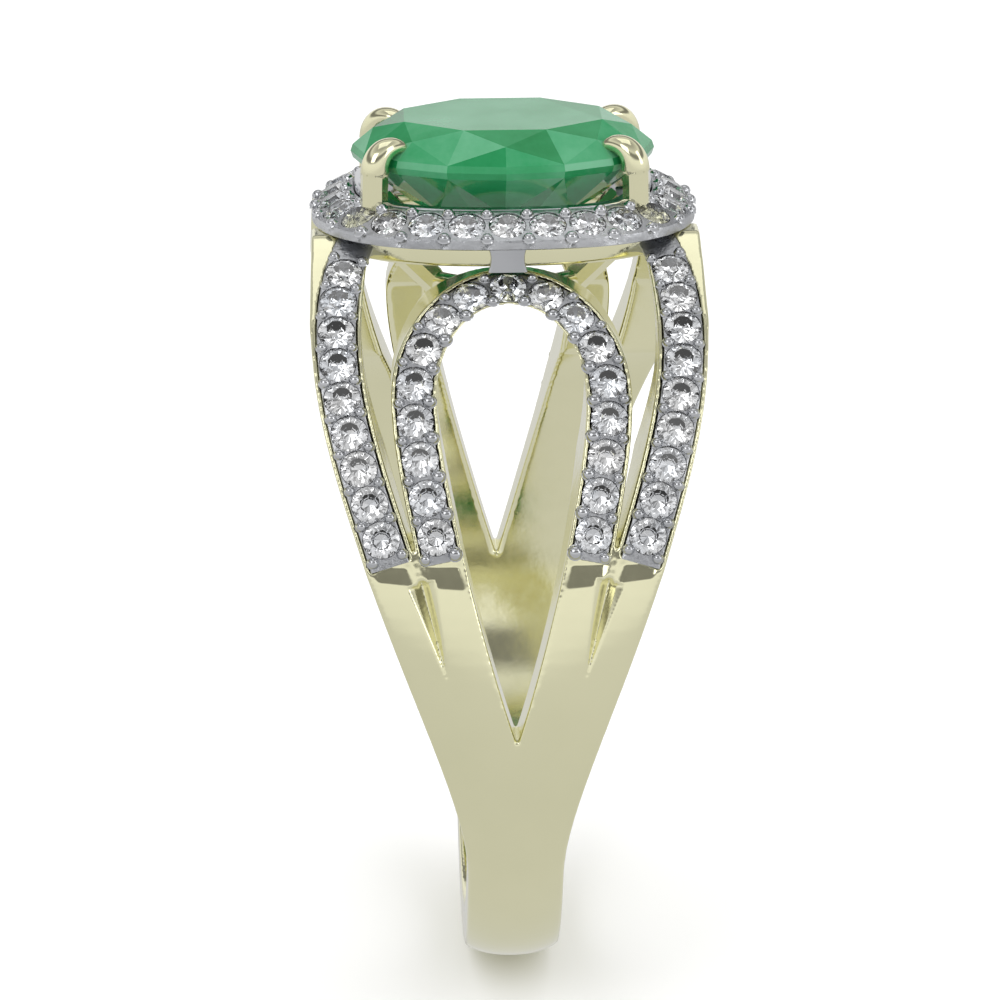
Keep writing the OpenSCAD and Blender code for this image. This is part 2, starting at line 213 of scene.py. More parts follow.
GOLD = metal("yellow_gold", (0.87, 0.845, 0.58), (0.82, 0.80, 0.54), (0.09, 0.17), 900, 0.10)
WHITE = metal("white_gold", (0.60, 0.61, 0.63), (0.40, 0.41, 0.43), (0.22, 0.42), 4200, 0.85)
BEAD = metal("bead_white_gold",
             (0.62, 0.63, 0.65), (0.46, 0.47, 0.49), (0.08, 0.18), 1500, 0.15)


def make_diamond_material():
    material, nodes, links, shader = new_material(
        "diamond", Transmission_Weight=1.0, IOR=2.42, Roughness=0.0)
    drift = noise(nodes, links, 900, 1)
    tint = ramp(nodes, links, drift.outputs["Fac"],
                [(0.35, (0.90, 0.94, 1.0)), (0.6, (1.0, 1.0, 1.0))])
    links.new(tint.outputs["Color"], shader.inputs["Base Color"])
    return material


# how close two facets' normals are to share one painted shade, and how far the painted facet light
# and shade outweighs the veils
FACET_SHADE_STEP = 0.02
FACET_SHADE_SHARE = 0.42


def make_green_material():
    """Cloudy green beryl: milky veils drift inside, and painted light and shade give each facet
    its own green.
    """
    material, nodes, links, shader = new_material(
        "green_stone", IOR=1.58, Roughness=0.03,
        Transmission_Weight=0.22, Specular_IOR_Level=0.22)
    cloud = noise(nodes, links, 380, 5, 0.65)
    # painted facet light and shade: a random tone for each direction a facet faces, standing in
    # for the light that the cut sends back
    surface = nodes.new("ShaderNodeNewGeometry")
    facet = nodes.new("ShaderNodeTexWhiteNoise")
    facet.noise_dimensions = "3D"
    snap = nodes.new("ShaderNodeVectorMath")
    snap.operation = "SNAP"
    snap.inputs[1].default_value = (FACET_SHADE_STEP,) * 3
    links.new(surface.outputs["True Normal"], snap.inputs[0])
    links.new(snap.outputs["Vector"], facet.inputs["Vector"])
    veils_and_facet_shade = nodes.new("ShaderNodeMix")
    veils_and_facet_shade.inputs["Factor"].default_value = FACET_SHADE_SHARE
    links.new(cloud.outputs["Fac"], veils_and_facet_shade.inputs["A"])
    links.new(facet.outputs["Value"], veils_and_facet_shade.inputs["B"])
    # the stone's own greens; the darker and paler ends also carry the painted facet shade and
    # painted facet light
    tint = ramp(nodes, links, veils_and_facet_shade.outputs["Result"],
                [(0.24, (0.001, 0.19, 0.045)), (0.50, (0.030, 0.31, 0.115)),
                 (0.76, (0.13, 0.44, 0.24))])
    links.new(tint.outputs["Color"], shader.inputs["Base Color"])
    return material


DIAMOND = make_diamond_material()
GREEN = make_green_material()

# ---------------------------------------------------------------- mesh helpers


def mesh_object(name, vertices, faces):
    """An object from millimetre points, its faces not yet turned outwards."""
    mesh = bpy.data.meshes.new(name)
    mesh.from_pydata([tuple(np.asarray(v, float) * MM) for v in vertices], [], faces)
    made = bpy.data.objects.new(name, mesh)
    bpy.context.scene.collection.objects.link(made)
    return made


def turn_outwards(mesh):
    edit = bmesh.new()
    edit.from_mesh(mesh)
    bmesh.ops.recalc_face_normals(edit, faces=edit.faces)
    edit.to_mesh(mesh)
    edit.free()


def new_piece(name, vertices, faces, material, slot, nodes=(), smooth_angle=None):
    finish_piece(mesh_object(name, vertices, faces), material, nodes, smooth_angle)


def finish_piece(piece, material, nodes=(), smooth_angle=None):
    """Gives a piece its material and its place on the ring's only body."""
    mesh = piece.data
    mesh.materials.clear()
    mesh.materials.append(material)
    turn_outwards(mesh)
    if smooth_angle is not None:
        mesh.polygons.foreach_set("use_smooth", [True] * len(mesh.polygons))
        mesh.set_sharp_from_angle(angle=math.radians(smooth_angle))
    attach(piece, "root")
    if nodes:
        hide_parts(*nodes)


def apply_modifiers(piece):
    bpy.context.view_layer.update()
    evaluated = piece.evaluated_get(bpy.context.evaluated_depsgraph_get())
    mesh = bpy.data.meshes.new_from_object(evaluated)
    piece.modifiers.clear()
    old = piece.data
    piece.data = mesh
    bpy.data.meshes.remove(old)


def solid_object(name, vertices, faces):
    """An object for cutting, with its faces turned outwards."""
    made = mesh_object(name, vertices, faces)
    turn_outwards(made.data)
    return made


def cut_seats(piece, places):
    """Cuts neighbouring seats in two passes, because they may touch each other."""
    holes = [placed(seat(), axes_matrix(along, across, out), point - out * MELEE_SINK)
             for point, along, across, out in places]
    for first in (0, 1):
        cut(piece, solid_object("seats", *gather(holes[first::2])))


def cut(piece, tool):
    """Takes the tool's solid out of the piece and removes the tool."""
    modifier = piece.modifiers.new("cut", "BOOLEAN")
    modifier.operation = "DIFFERENCE"
    modifier.solver = "EXACT"
    modifier.object = tool
    apply_modifiers(piece)
    mesh = tool.data
    bpy.data.objects.remove(tool)
    bpy.data.meshes.remove(mesh)


def tube_faces(rings, sides, closed=False):
    """Quads between rings of points, with end caps unless the tube is closed."""
    faces = []
    for i in range(rings if closed else rings - 1):
        a, b = i * sides, ((i + 1) % rings) * sides
        faces += [(a + j, a + (j + 1) % sides, b + (j + 1) % sides, b + j) for j in range(sides)]
    if not closed:
        faces += [tuple(range(sides - 1, -1, -1)),
                  tuple((rings - 1) * sides + j for j in range(sides))]
    return faces


def gather(parts):
    """Joins (vertices, faces) pairs into one pair."""
    vertices, faces = [], []
    for part_vertices, part_faces in parts:
        start = len(vertices)
        vertices += list(part_vertices)
        faces += [tuple(start + i for i in face) for face in part_faces]
    return vertices, faces


def placed(part, matrix, at):
    """A (vertices, faces) pair, turned by the matrix and moved to a point."""
    vertices, faces = part
    return [matrix @ np.asarray(v, float) + at for v in vertices], faces


# ---------------------------------------------------------------- the shoulders' curves


def bezier(points, t):
    """Point of a cubic curve, as in the part's front view."""
    a, b, c, d = (np.array(p, float) for p in points)
    return (1 - t) ** 3 * a + 3 * t * (1 - t) ** 2 * b + 3 * t * t * (1 - t) * c + t ** 3 * d


CURVE_STEPS = 60


def curve(points):
    return [bezier(points, i / CURVE_STEPS) for i in range(CURVE_STEPS + 1)]


def shoulder_y(z):
    """Distance of the outer shoulder surface from the finger's axis, at height z."""
    if z <= 0:
        return math.sqrt(max(BASE_R ** 2 - z * z, 0))
    return BASE_R * max(1 - (z / SHOULDER_H) ** SHOULDER_N, 0) ** (1 / SHOULDER_N)


def normal_at(z):
    """Outward normal of the front shoulder surface at height z."""
    if z <= 0:
        out = np.array([0, -shoulder_y(z), z])
    else:
        out = np.array([0, -(shoulder_y(z) / BASE_R) ** (SHOULDER_N - 1) / BASE_R,
                        (z / SHOULDER_H) ** (SHOULDER_N - 1) / SHOULDER_H])
    return out / np.linalg.norm(out)


def on_shoulder(p):
    """The point of the front shoulder over a point of the front view."""
    return np.array([p[0], -shoulder_y(p[1]), p[1]])


def surface_axes(behind, ahead, z):
    """Along, across and out on the shoulder at height z, from points on either side."""
    out = normal_at(z)
    along = on_shoulder(ahead) - on_shoulder(behind)
    along -= out * along.dot(out)
    along /= np.linalg.norm(along)
    return along, np.cross(out, along), out


def running_total(points):
    """Length of the way to each of the points."""
    steps = [np.linalg.norm(b - a) for a, b in zip(points, points[1:])]
    return np.concatenate([[0], np.cumsum(steps)])


def run_lengths(path):
    return running_total([on_shoulder(p) for p in path])


def at_length(path, run, s):
    return np.array([np.interp(s, run, [p[k] for p in path]) for k in (0, 1)])


ARM_FOOT = np.array([ARM_REACH - 1.49, PAVE_Z - 0.05])
ARCH_FOOT = np.array([ARCH_REACH - 0.7, PAVE_Z + 0.05])
ARM_LINE = curve([ARM_FOOT, (ARM_REACH - 0.8, 6.7), (ARM_REACH + 0.91, 10.6),
                  (HALO_HIGH[0] - 1.42, ARM_TOP)])
# the rail runs on a little under the halo
ARM_LINE.append(2 * ARM_LINE[-1] - ARM_LINE[-5])
ARCH_SIDE = curve([ARCH_FOOT, (ARCH_REACH - 0.33, 6.3),
                   (ARCH_REACH, 7.6), (ARCH_REACH, 8.8)])
ARCH_BEND = curve([(ARCH_REACH, 8.8), (ARCH_REACH, 10.2),
                   (ARCH_REACH * 0.57, ARCH_TOP), (0, ARCH_TOP)])
ARCH_HALF = ARCH_SIDE[:-1] + ARCH_BEND
ARCH_LINE = ARCH_HALF + [np.array([-p[0], p[1]]) for p in ARCH_HALF[-2::-1]]


# half the length over which a row's direction is read
ROW_REACH = 0.05


def row(path, places):
    """Position and axes of each place, given as lengths along a path."""
    run = run_lengths(path)
    found = []
    for s in places:
        point = at_length(path, run, s)
        behind, ahead = (at_length(path, run, s + step) for step in (-ROW_REACH, ROW_REACH))
        found.append((on_shoulder(point), *surface_axes(behind, ahead, point[1])))
    return found


ARM_PLACES = [(k + ARM_FIRST) * ARM_PITCH for k in range(ARM_STONES)]
ARCH_LENGTH = run_lengths(ARCH_LINE)[-1]
ARCH_PLACES = [ARCH_LENGTH / 2 + k * ARCH_PITCH
               for k in range(-ARCH_SIDE_STONES, ARCH_SIDE_STONES + 1)]

# ---------------------------------------------------------------- gold shank

VOXEL = 0.046
# points closer than this in the frame's mesh, in metres, are one
WELD = 1e-7
# the gold is fully smoothed below the rails and on the walls of the openings, else in part
SMOOTH_BELOW = PAVE_Z - 0.15
SMOOTH_FADE = 0.5
SMOOTH_DEPTH = 0.8
SMOOTH_LEAST = 0.45
SMOOTH_FACTOR = 0.6
SMOOTH_ROUNDS = 24
# how far the hoop's edges fall away from its middle, and how sharply
DOME_DROP = 0.34
DOME_POWER = 2.4
# the finger hole keeps its shape to this depth, and the dome fades out towards DOME_TOP
DOME_LIP = 0.15
DOME_TOP = 4.6
DOME_FADE = 4.5
# the hoop's half width by height
DOME_HEIGHTS = [-6, -3.7, -1.7, 0.2, 3.2, 4.8]
DOME_HALF_WIDTHS = [1.4, 1.5, 2.0, 2.75, 3.85, 4.45]
# the tapered grooves that carry each slot on down the shank
GROOVE_START = np.array([(ARM_FOOT[0] + ARCH_FOOT[0]) / 2 - 0.17, PAVE_Z - 0.6])
GROOVE_END = np.array([1.93, 1.1])
GROOVE_HALF = 0.46
GROOVE_DEPTH = 0.36
# how far the gold drops away below the end of each rail, so that the rail stands proud
DIP = 0.085
DIP_LENGTH = 0.75
DIP_HALF = 0.66
DIP_EDGE = 0.22
DIP_LEANS = ((ARM_FOOT, 0.34), (ARCH_FOOT, 0.22))
# how deep under the surface, and from what height up, a groove or a dip moves the gold
CARVE_REACH = 0.6
CARVE_FROM = 0.5


def groove_depth(x, z):
    """Depth of the V grooves at points of the front view, for x >= 0."""
    way = GROOVE_END - GROOVE_START
    length = np.linalg.norm(way)
    way = way / length
    along = (x - GROOVE_START[0]) * way[0] + (z - GROOVE_START[1]) * way[1]
    off = np.abs((x - GROOVE_START[0]) * way[1] - (z - GROOVE_START[1]) * way[0])
    share = np.clip(along / length, 0, 1)
    half = GROOVE_HALF * (1 - share) ** 0.8 + 1e-4
    inside = (along > -0.1) & (along < length)
    return np.where(inside, GROOVE_DEPTH * (1 - share) ** 0.5
                    * np.clip(1 - off / half, 0, 1) ** 1.2, 0)


def dip_depth(x, z):
    """Depth of the dip below the end of each rail, for x >= 0."""
    fall = DIP * np.interp(z, [PAVE_Z - DIP_LENGTH, PAVE_Z - 0.05, PAVE_Z + 0.5], [0, 1, 0])
    mask = np.zeros_like(x)
    for foot, lean in DIP_LEANS:
        off = np.abs(x - foot[0] - lean * (z - foot[1]))
        mask = np.maximum(mask, np.clip((DIP_HALF - off) / DIP_EDGE, 0, 1))
    return fall * mask


def depth_under(co):
    """Rough depth of points under the outer surface of the shoulders."""
    high = np.maximum(co[:, 2], 0)
    level = ((np.abs(co[:, 1]) / BASE_R) ** SHOULDER_N
             + (high / SHOULDER_H) ** SHOULDER_N) ** (1 / SHOULDER_N)
    return np.clip(1 - level, 0, 1) * np.hypot(co[:, 1], co[:, 2])


def read_points(piece):
    """The piece's vertices in millimetres, one row each."""
    co = np.zeros(len(piece.data.vertices) * 3)
    piece.data.vertices.foreach_get("co", co)
    return co.reshape(-1, 3) / MM


def smooth_by(piece, weight):
    """Evens out the surface where the weight, from 0 to 1 for each vertex, is high."""
    soft = piece.vertex_groups.new(name="soft")
    for level in range(1, 11):
        chosen = np.nonzero(np.round(weight * 10).astype(int) == level)[0]
        if len(chosen):
            soft.add(chosen.tolist(), level / 10, "REPLACE")
    smooth = piece.modifiers.new("smooth", "SMOOTH")
    smooth.factor = SMOOTH_FACTOR
    smooth.iterations = SMOOTH_ROUNDS
    smooth.vertex_group = "soft"
    apply_modifiers(piece)
    piece.vertex_groups.clear()


def make_shank():
    """The cast gold body: the frame's solid with rounded edges, a domed section and V grooves."""
    mesh = frame["nodes"]["shank"].data.copy()
    edit = bmesh.new()
    edit.from_mesh(mesh)
    bmesh.ops.remove_doubles(edit, verts=edit.verts, dist=WELD)
    edit.to_mesh(mesh)
    edit.free()
    piece = bpy.data.objects.new("gold_shank", mesh)
    bpy.context.scene.collection.objects.link(piece)
    remesh = piece.modifiers.new("remesh", "REMESH")
    remesh.mode = "VOXEL"
    remesh.voxel_size = VOXEL * MM
    apply_modifiers(piece)
    co = read_points(piece)
    plain = np.clip((SMOOTH_BELOW - co[:, 2]) / SMOOTH_FADE, 0, 1)
    inside = (depth_under(co) > SMOOTH_DEPTH).astype(float)
    smooth_by(piece, np.clip(np.maximum(plain, inside), SMOOTH_LEAST, 1))
    co = read_points(piece)
    radius = np.hypot(co[:, 1], co[:, 2])
    half_width = np.interp(co[:, 2], DOME_HEIGHTS, DOME_HALF_WIDTHS)
    fade = np.clip((DOME_TOP - co[:, 2]) / DOME_FADE, 0, 1)
    outer = np.clip((radius - FINGER_R - DOME_LIP) / (BASE_R - FINGER_R - DOME_LIP), 0, 1)
    drop = (DOME_DROP * np.clip(np.abs(co[:, 0]) / half_width, 0, 1) ** DOME_POWER
            * fade * outer)
    sunk = depth_under(co)
    x = np.abs(co[:, 0])
    wanted = np.maximum(groove_depth(x, co[:, 2]), dip_depth(x, co[:, 2]))
    near = (sunk < CARVE_REACH) & (co[:, 2] > CARVE_FROM)
    drop = np.where(near, np.maximum(drop, wanted - sunk), drop)
    shrink = np.where(radius > FINGER_R, (radius - drop) / np.maximum(radius, 1e-6), 1)
    co[:, 1] *= shrink
    co[:, 2] *= shrink
    piece.data.vertices.foreach_set("co", (co * MM).ravel())
    finish_piece(piece, GOLD, ["shank"], 180)


# ---------------------------------------------------------------- diamonds


def brilliant(turn):
    """A round brilliant: table, star, kite and girdle facets above, mains and halves below."""
    radius = MELEE_R
    table, star, crown = 0.56 * radius, 0.74 * radius, 0.31 * radius
    girdle = 0.035 * radius
    pavilion = 0.78 * radius
    points = []

    def ring(count, r, z, offset):
        start = len(points)
        for k in range(count):
            a = turn + 2 * math.pi * (k + offset) / count
            points.append((r * math.cos(a), r * math.sin(a), z))
        return start

    t = ring(8, table, crown, 0.0)
    s = ring(8, star, crown * 0.56, 0.5)
    upper = ring(16, radius, girdle, 0.0)
    lower = ring(16, radius, -girdle, 0.0)
    p = ring(8, radius * 0.42, -pavilion * 0.62, 0.5)
    culet = len(points)
    points.append((0, 0, -pavilion))
    faces = [tuple(t + k for k in range(8))]
    for k in range(8):
        n = (k + 1) % 8
        faces.append((t + k, s + k, t + n))
        faces.append((t + k, s + (k - 1) % 8, upper + 2 * k, s + k))
        faces.append((s + k, upper + 2 * k, upper + 2 * k + 1))
        faces.append((s + k, upper + 2 * k + 1, upper + (2 * k + 2) % 16))
        faces.append((lower + 2 * k + 1, lower + 2 * k, p + k))
        faces.append((lower + (2 * k + 2) % 16, lower + 2 * k + 1, p + k))
        faces.append((lower + 2 * k, culet, p + k))
        faces.append((lower + (2 * k + 2) % 16, p + k, culet))
    for k in range(16):
        n = (k + 1) % 16
        faces.append((upper + k, lower + k, lower + n, upper + n))
    return points, faces


def turned_solid(profile, sides):
    """A solid of revolution from (radius, z) levels."""
    angles = [2 * math.pi * k / sides for k in range(sides)]
    points = [(r * math.cos(a), r * math.sin(a), z) for r, z in profile for a in angles]
    return points, tube_faces(len(profile), sides)


def seat():
    """The conical hole that a diamond sits in, open above the face."""
    wide = MELEE_R * 1.03
    return turned_solid([(0.05, -0.80 * MELEE_R - 0.02), (wide, -0.05), (wide, 0.5)], 24)


def axes_matrix(along, across, out):
    """The axes as columns, made right-handed, so that mirrored shapes stay the right way out."""
    if np.dot(np.cross(along, across), out) < 0:
        across = -across
    return np.array([along, across, out]).T


def mirror_map(flip_x, flip_y):
    """Factors that mirror a point to another quarter of the ring."""
    return np.array([-1.0 if flip_x else 1.0, -1.0 if flip_y else 1.0, 1.0])


def mirrored_place(place, flips):
    point, along, across, out = place
    return point * flips, along * flips, across * flips, out * flips


def make_diamonds(name, places, node):
    parts = []
    for point, along, across, out in places:
        turned = brilliant(random.uniform(0, math.pi / 4))
        parts.append(placed(turned, axes_matrix(along, across, out), point - out * MELEE_SINK))
    vertices, faces = gather(parts)
    new_piece(name, vertices, faces, DIAMOND, "diamond", [node])


# ---------------------------------------------------------------- beads


def bead_shape(radius, height):
    """A raised grain of metal: a dome on a slightly flared foot."""
    profile = [(1.22, -0.10), (1.12, 0.02), (1.0, 0.14)]
    profile += [(math.cos(a), 0.14 + 0.86 * math.sin(a)) for a in (0.35, 0.7, 1.0, 1.25, 1.45)]
    return turned_solid([(radius * r, height * z) for r, z in profile], 14)


def bead_part(point, along, across, out, radius, height):
    return placed(bead_shape(radius, height), axes_matrix(along, across, out), point)


# a bead's radius and height, and its distance from the middle of the row
BEAD_R = 0.155
BEAD_H = 0.15
BEAD_SIDE = 0.43
# radius of the beads along an arch's outer side, where the bend spreads the diamonds
ARCH_OUTER_BEAD_R = 0.185


def rail_beads(path, places, flips, outer_r):
    """Pairs of beads between neighbouring diamonds, and a pair beyond each end."""
    pitch = places[1] - places[0]
    middles = [places[0] - pitch / 2] + [s + pitch / 2 for s in places]
    parts = []
    for place in row(path, middles):
        point, along, across, out = mirrored_place(place, flips)
        for side, radius in ((1, outer_r), (-1, BEAD_R)):
            wobble = random.uniform(0.94, 1.06)
            shift = across * side * BEAD_SIDE + along * random.uniform(-0.02, 0.02)
            parts.append(bead_part(point + shift, along, across, out,
                                   radius * wobble, BEAD_H * wobble))
    return parts


# ---------------------------------------------------------------- pave rails


def rail_body(path, width, flips):
    """A rail let into the shoulder: eased edges, and sides that go straight back."""
    half = width / 2
    section = [(-half, -RAIL_T), (-half, -0.06), (-half + 0.02, -0.02), (-half + 0.06, 0.0)]
    section += [(half * f, 0.0) for f in (-0.5, 0.0, 0.5)]
    section += [(half - 0.06, 0.0), (half - 0.02, -0.02), (half, -0.06), (half, -RAIL_T)]
    vertices = []
    for i in range(len(path)):
        _, across, out = surface_axes(
            path[max(i - 1, 0)], path[min(i + 1, len(path) - 1)], path[i][1])
        centre = on_shoulder(path[i])
        back = np.array([0.0, RAIL_T / max(-out[1], 0.45), 0.0])
        vertices += [(centre + across * u + (back if h == -RAIL_T else out * h)) * flips
                     for u, h in section]
    return vertices, tube_faces(len(path), len(section))


def make_rail(name, path, width, places, node, flips, diamonds, outer_r=BEAD_R):
    """One rail with its seats, its beads and its diamonds."""
    piece = solid_object(name, *rail_body(path, width, flips))
    spots = [mirrored_place(p, flips) for p in row(path, places)]
    cut_seats(piece, spots)
    finish_piece(piece, WHITE, [node], 35)
    new_piece(name + "_beads", *gather(rail_beads(path, places, flips, outer_r)),
              BEAD, "white_gold", (), 50)
    make_diamonds(name + "_diamonds", spots, diamonds)


def make_rails():
    for end, flip_y in (("front", False), ("back", True)):
        for side, flip_x in (("left", True), ("right", False)):
            make_rail(f"arm_rail_{end}_{side}", ARM_LINE, ARM_W - 2 * RAIL_MARGIN, ARM_PLACES,
                      f"outer_pave_rail_{end}_{side}", mirror_map(flip_x, flip_y),
                      f"outer_diamonds_{end}_{side}")
        make_rail(f"arch_rail_{end}", ARCH_LINE, ARCH_W - 2 * RAIL_MARGIN, ARCH_PLACES,
                  f"arch_pave_rail_{end}", mirror_map(False, flip_y),
                  f"arch_diamonds_{end}", ARCH_OUTER_BEAD_R)


# ---------------------------------------------------------------- halo, gallery, collar


def power(v, e):
    """A power that keeps the sign."""
    return math.copysign(abs(v) ** e, v)


def cushion(ax, ay, angle):
    return np.array([ax * power(math.cos(angle), 2 / HALO_N),
                     ay * power(math.sin(angle), 2 / HALO_N)])


CUSHION_STEPS = 2880


class CushionPath:
    """A cushion-shaped line with even steps of length, and its directions."""

    def __init__(self, ax, ay, count):
        fine = [cushion(ax, ay, 2 * math.pi * i / CUSHION_STEPS)
                for i in range(CUSHION_STEPS + 1)]
        run = running_total(fine)
        steps = np.arange(count) * run[-1] / count
        self.points = np.array([np.interp(steps, run, [p[k] for p in fine]) for k in (0, 1)]).T
        ahead, behind = np.roll(self.points, -1, 0), np.roll(self.points, 1, 0)
        self.tangents = (ahead - behind) / np.linalg.norm(ahead - behind, axis=1)[:, None]
        self.normals = np.array([self.tangents[:, 1], -self.tangents[:, 0]]).T


def ring_solid(path, section):
    """Sweeps section(i), a list of (outward, z), round a closed cushion path."""
    vertices, sides = [], len(section(0))
    for i, (point, normal) in enumerate(zip(path.points, path.normals)):
        for out, z in section(i):
            xy = point + normal * out
            vertices.append((xy[0], xy[1], z))
    return vertices, tube_faces(len(path.points), sides, closed=True)


# steps along the halo for each diamond, and the depth of the nicks in its rim
HALO_STEPS = 20
SCALLOP = 0.10
# the halo's beads: distance from its edge, and radius, on the outer and the inner side
HALO_OUTER_BEAD = (0.13, 0.18)
HALO_INNER_BEAD = (0.22, 0.17)
HALO_BEAD_H = 0.17


def make_halo():
    """The sloping halo with a scalloped edge, seats, beads along both edges and its diamonds."""
    half = HALO_W / 2
    path = CushionPath(HALO_HIGH[0] - half, HALO_HIGH[1] - half, HALO_STONES * HALO_STEPS)
    bottom, top = HALO_LOW[2], HALO_HIGH[2]
    edge = bottom + HALO_EDGE_T
    slope = math.atan((top - edge) / (HALO_W - HALO_LAND))

    def face_z(out):
        return edge + (half - out) * math.tan(slope)

    def section(i):
        phase = (i / HALO_STEPS) % 1.0
        nick = SCALLOP * (1 - math.sin(math.pi * phase) ** 0.5)
        rim = half - 0.05 - nick
        return [(half - 0.06, bottom), (half - 0.02, bottom + 0.03),
                (half - 0.02 - nick * 0.5, bottom + 0.10), (half - 0.02 - nick, edge - 0.05),
                (rim, face_z(rim)), (0.0, face_z(0.0)),
                (-half + HALO_LAND + 0.02, top - 0.02), (-half + 0.04, top),
                (-half, top - 0.04), (-half, bottom + 0.04), (-half + 0.04, bottom)]

    piece = solid_object("halo_body", *ring_solid(path, section))

    def on_face(i, out):
        """Point, along, across and out of the sloping face at one step of the path."""
        normal = np.array([*path.normals[i], 0.0])
        tangent = np.array([*path.tangents[i], 0.0])
        up = np.array([0.0, 0.0, math.cos(slope)]) + normal * math.sin(slope)
        point = np.array([*path.points[i], face_z(out)]) + normal * out
        return point, tangent, np.cross(up, tangent), up

    spots, beads = [], []
    for k in range(HALO_STONES):
        spots.append(on_face(k * HALO_STEPS + HALO_STEPS // 2, 0.0))
        for sign, (inset, radius) in ((1, HALO_OUTER_BEAD), (-1, HALO_INNER_BEAD)):
            wobble = random.uniform(0.95, 1.06)
            beads.append(bead_part(*on_face(k * HALO_STEPS, sign * (half - inset)),
                                   radius * wobble, HALO_BEAD_H * wobble))
    cut_seats(piece, spots)
    finish_piece(piece, WHITE, ["halo_frame"], 35)
    new_piece("halo_beads", *gather(beads), BEAD, "white_gold", (), 50)
    make_diamonds("halo_row_diamonds", spots, "halo_diamonds")


def rounded_section(out_low, out_high, low, high, ease):
    """A rectangle of (outward, z) points with eased corners."""
    corners = [(out_high, low, 1, -1), (out_high, high, 1, 1),
               (out_low, high, -1, 1), (out_low, low, -1, -1)]
    points = []
    for k, (o, z, so, sz) in enumerate(corners):
        centre = (o - so * ease, z - sz * ease)
        start = math.radians(-90 + 90 * k)
        for step in range(5):
            a = start + math.radians(90 * step / 4)
            points.append((centre[0] + ease * math.cos(a), centre[1] + ease * math.sin(a)))
    return points


def wall_path(high, wall):
    """The middle line of a cushion-shaped wall, from the top corner of its box."""
    return CushionPath(high[0] - wall / 2, high[1] - wall / 2, 300)


def make_gallery():
    half = GALLERY_WALL / 2
    shape = rounded_section(-half, half, GALLERY_LOW[2], GALLERY_HIGH[2], 0.13)
    new_piece("gallery_wire", *ring_solid(wall_path(GALLERY_HIGH, GALLERY_WALL), lambda i: shape),
              GOLD, "yellow_gold", ["gallery_rail"], 60)


def make_collar():
    """The cup under the stone, a little higher at its two ends."""
    path = wall_path(COLLAR_HIGH, COLLAR_WALL)
    low, high = COLLAR_LOW[2], COLLAR_HIGH[2]

    def section(i):
        end = abs(path.points[i][0]) / COLLAR_HIGH[0]
        lift = 0.32 * max(end - 0.72, 0) / 0.28
        return rounded_section(-COLLAR_WALL / 2, COLLAR_WALL / 2, low, high - 0.08 + lift, 0.09)

    new_piece("collar_cup", *ring_solid(path, section),
              BEAD, "white_gold", ["stone_collar"], 60)


def make_base_rail():
    """The round wire that ties the claws' feet."""
    wire = (BASE_HIGH[2] - BASE_LOW[2]) / 2
    radius = BASE_HIGH[0] - wire
    middle = (BASE_HIGH[2] + BASE_LOW[2]) / 2
    sides, count = 20, 120
    vertices = []
    for i in range(count):
        a = 2 * math.pi * i / count
        for k in range(sides):
            b = 2 * math.pi * k / sides
            r = radius + wire * math.cos(b)
            vertices.append((r * math.cos(a), r * math.sin(a), middle + wire * math.sin(b)))
    new_piece("basket_wire", vertices, tube_faces(count, sides, closed=True),
              GOLD, "yellow_gold", ["basket_base_rail"], 60)


def make_connectors():
    """Small waisted blocks that join each arch to the halo."""
    for end in ("front", "back"):
        low, high = box_mm(f"arch_connector_{end}")
        centre, half = (low + high) / 2, (high - low) / 2
        rings, sides = 9, 24
        vertices = []
        for i in range(rings):
            t = i / (rings - 1)
            pinch = 1 - 0.14 * math.sin(math.pi * t)
            z = low[2] + (high[2] - low[2]) * t
            for k in range(sides):
                a = 2 * math.pi * k / sides
                vertices.append((centre[0] + half[0] * pinch * power(math.cos(a), 0.4),
                                 centre[1] + half[1] * power(math.sin(a), 0.4), z))
        new_piece(f"connector_block_{end}", vertices, tube_faces(rings, sides),
                  BEAD, "white_gold", [f"arch_connector_{end}"], 50)


# ---------------------------------------------------------------- claws

CLAW_SIDES = 32
CLAW_R = 0.41
# the cap is a little thicker than the shaft, and closes over its last part
CAP_SWELL = 1.03
CAP_CLOSING = 0.88
# direction across a claw, seen from above
CLAW_ACROSS = (-2.45, 3.82)


def catmull(points, per_span):
    """A smooth curve through the points."""
    points = [np.array(p, float) for p in points]
    ends = [2 * points[0] - points[1]] + points + [2 * points[-1] - points[-2]]
    found = []
    for i in range(1, len(ends) - 2):
        a, b, c, d = ends[i - 1:i + 3]
        for k in range(per_span):
            t = k / per_span
            found.append(0.5 * (2 * b + (c - a) * t + (2 * a - 5 * b + 4 * c - d) * t * t
                                + (3 * b - a - 3 * c + d) * t ** 3))
    return found + [points[-1]]


